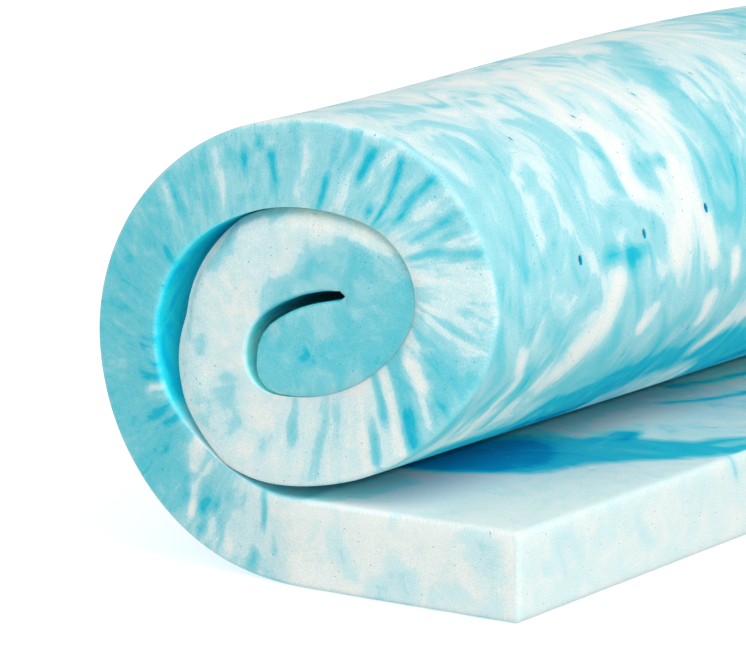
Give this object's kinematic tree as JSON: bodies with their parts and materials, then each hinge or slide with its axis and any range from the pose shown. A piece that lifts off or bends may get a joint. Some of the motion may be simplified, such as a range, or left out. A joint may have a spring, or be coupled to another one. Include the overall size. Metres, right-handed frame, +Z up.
{
  "type": "rolled foam mattress topper",
  "caption": "Slab of open foam rolled two turns about its end, its tail lying flat, with marbled colouring, soft cut edges and small vent holes",
  "frame": {"origin": "centre of the footprint, on the surface it rests on", "axes": "+X across the roll towards the end of the flat tail, +Y along the roll's axis, +Z up"},
  "size_m": [0.4448, 1.3716, 0.4133],
  "materials": {
    "foam": "matt open-cell foam, cream white marbled with pale to mid blue, fine-pored skin and cut edges"
  },
  "bodies": {
    "root": {"topper_foam": "foam"}
  },
  "joints": []
}
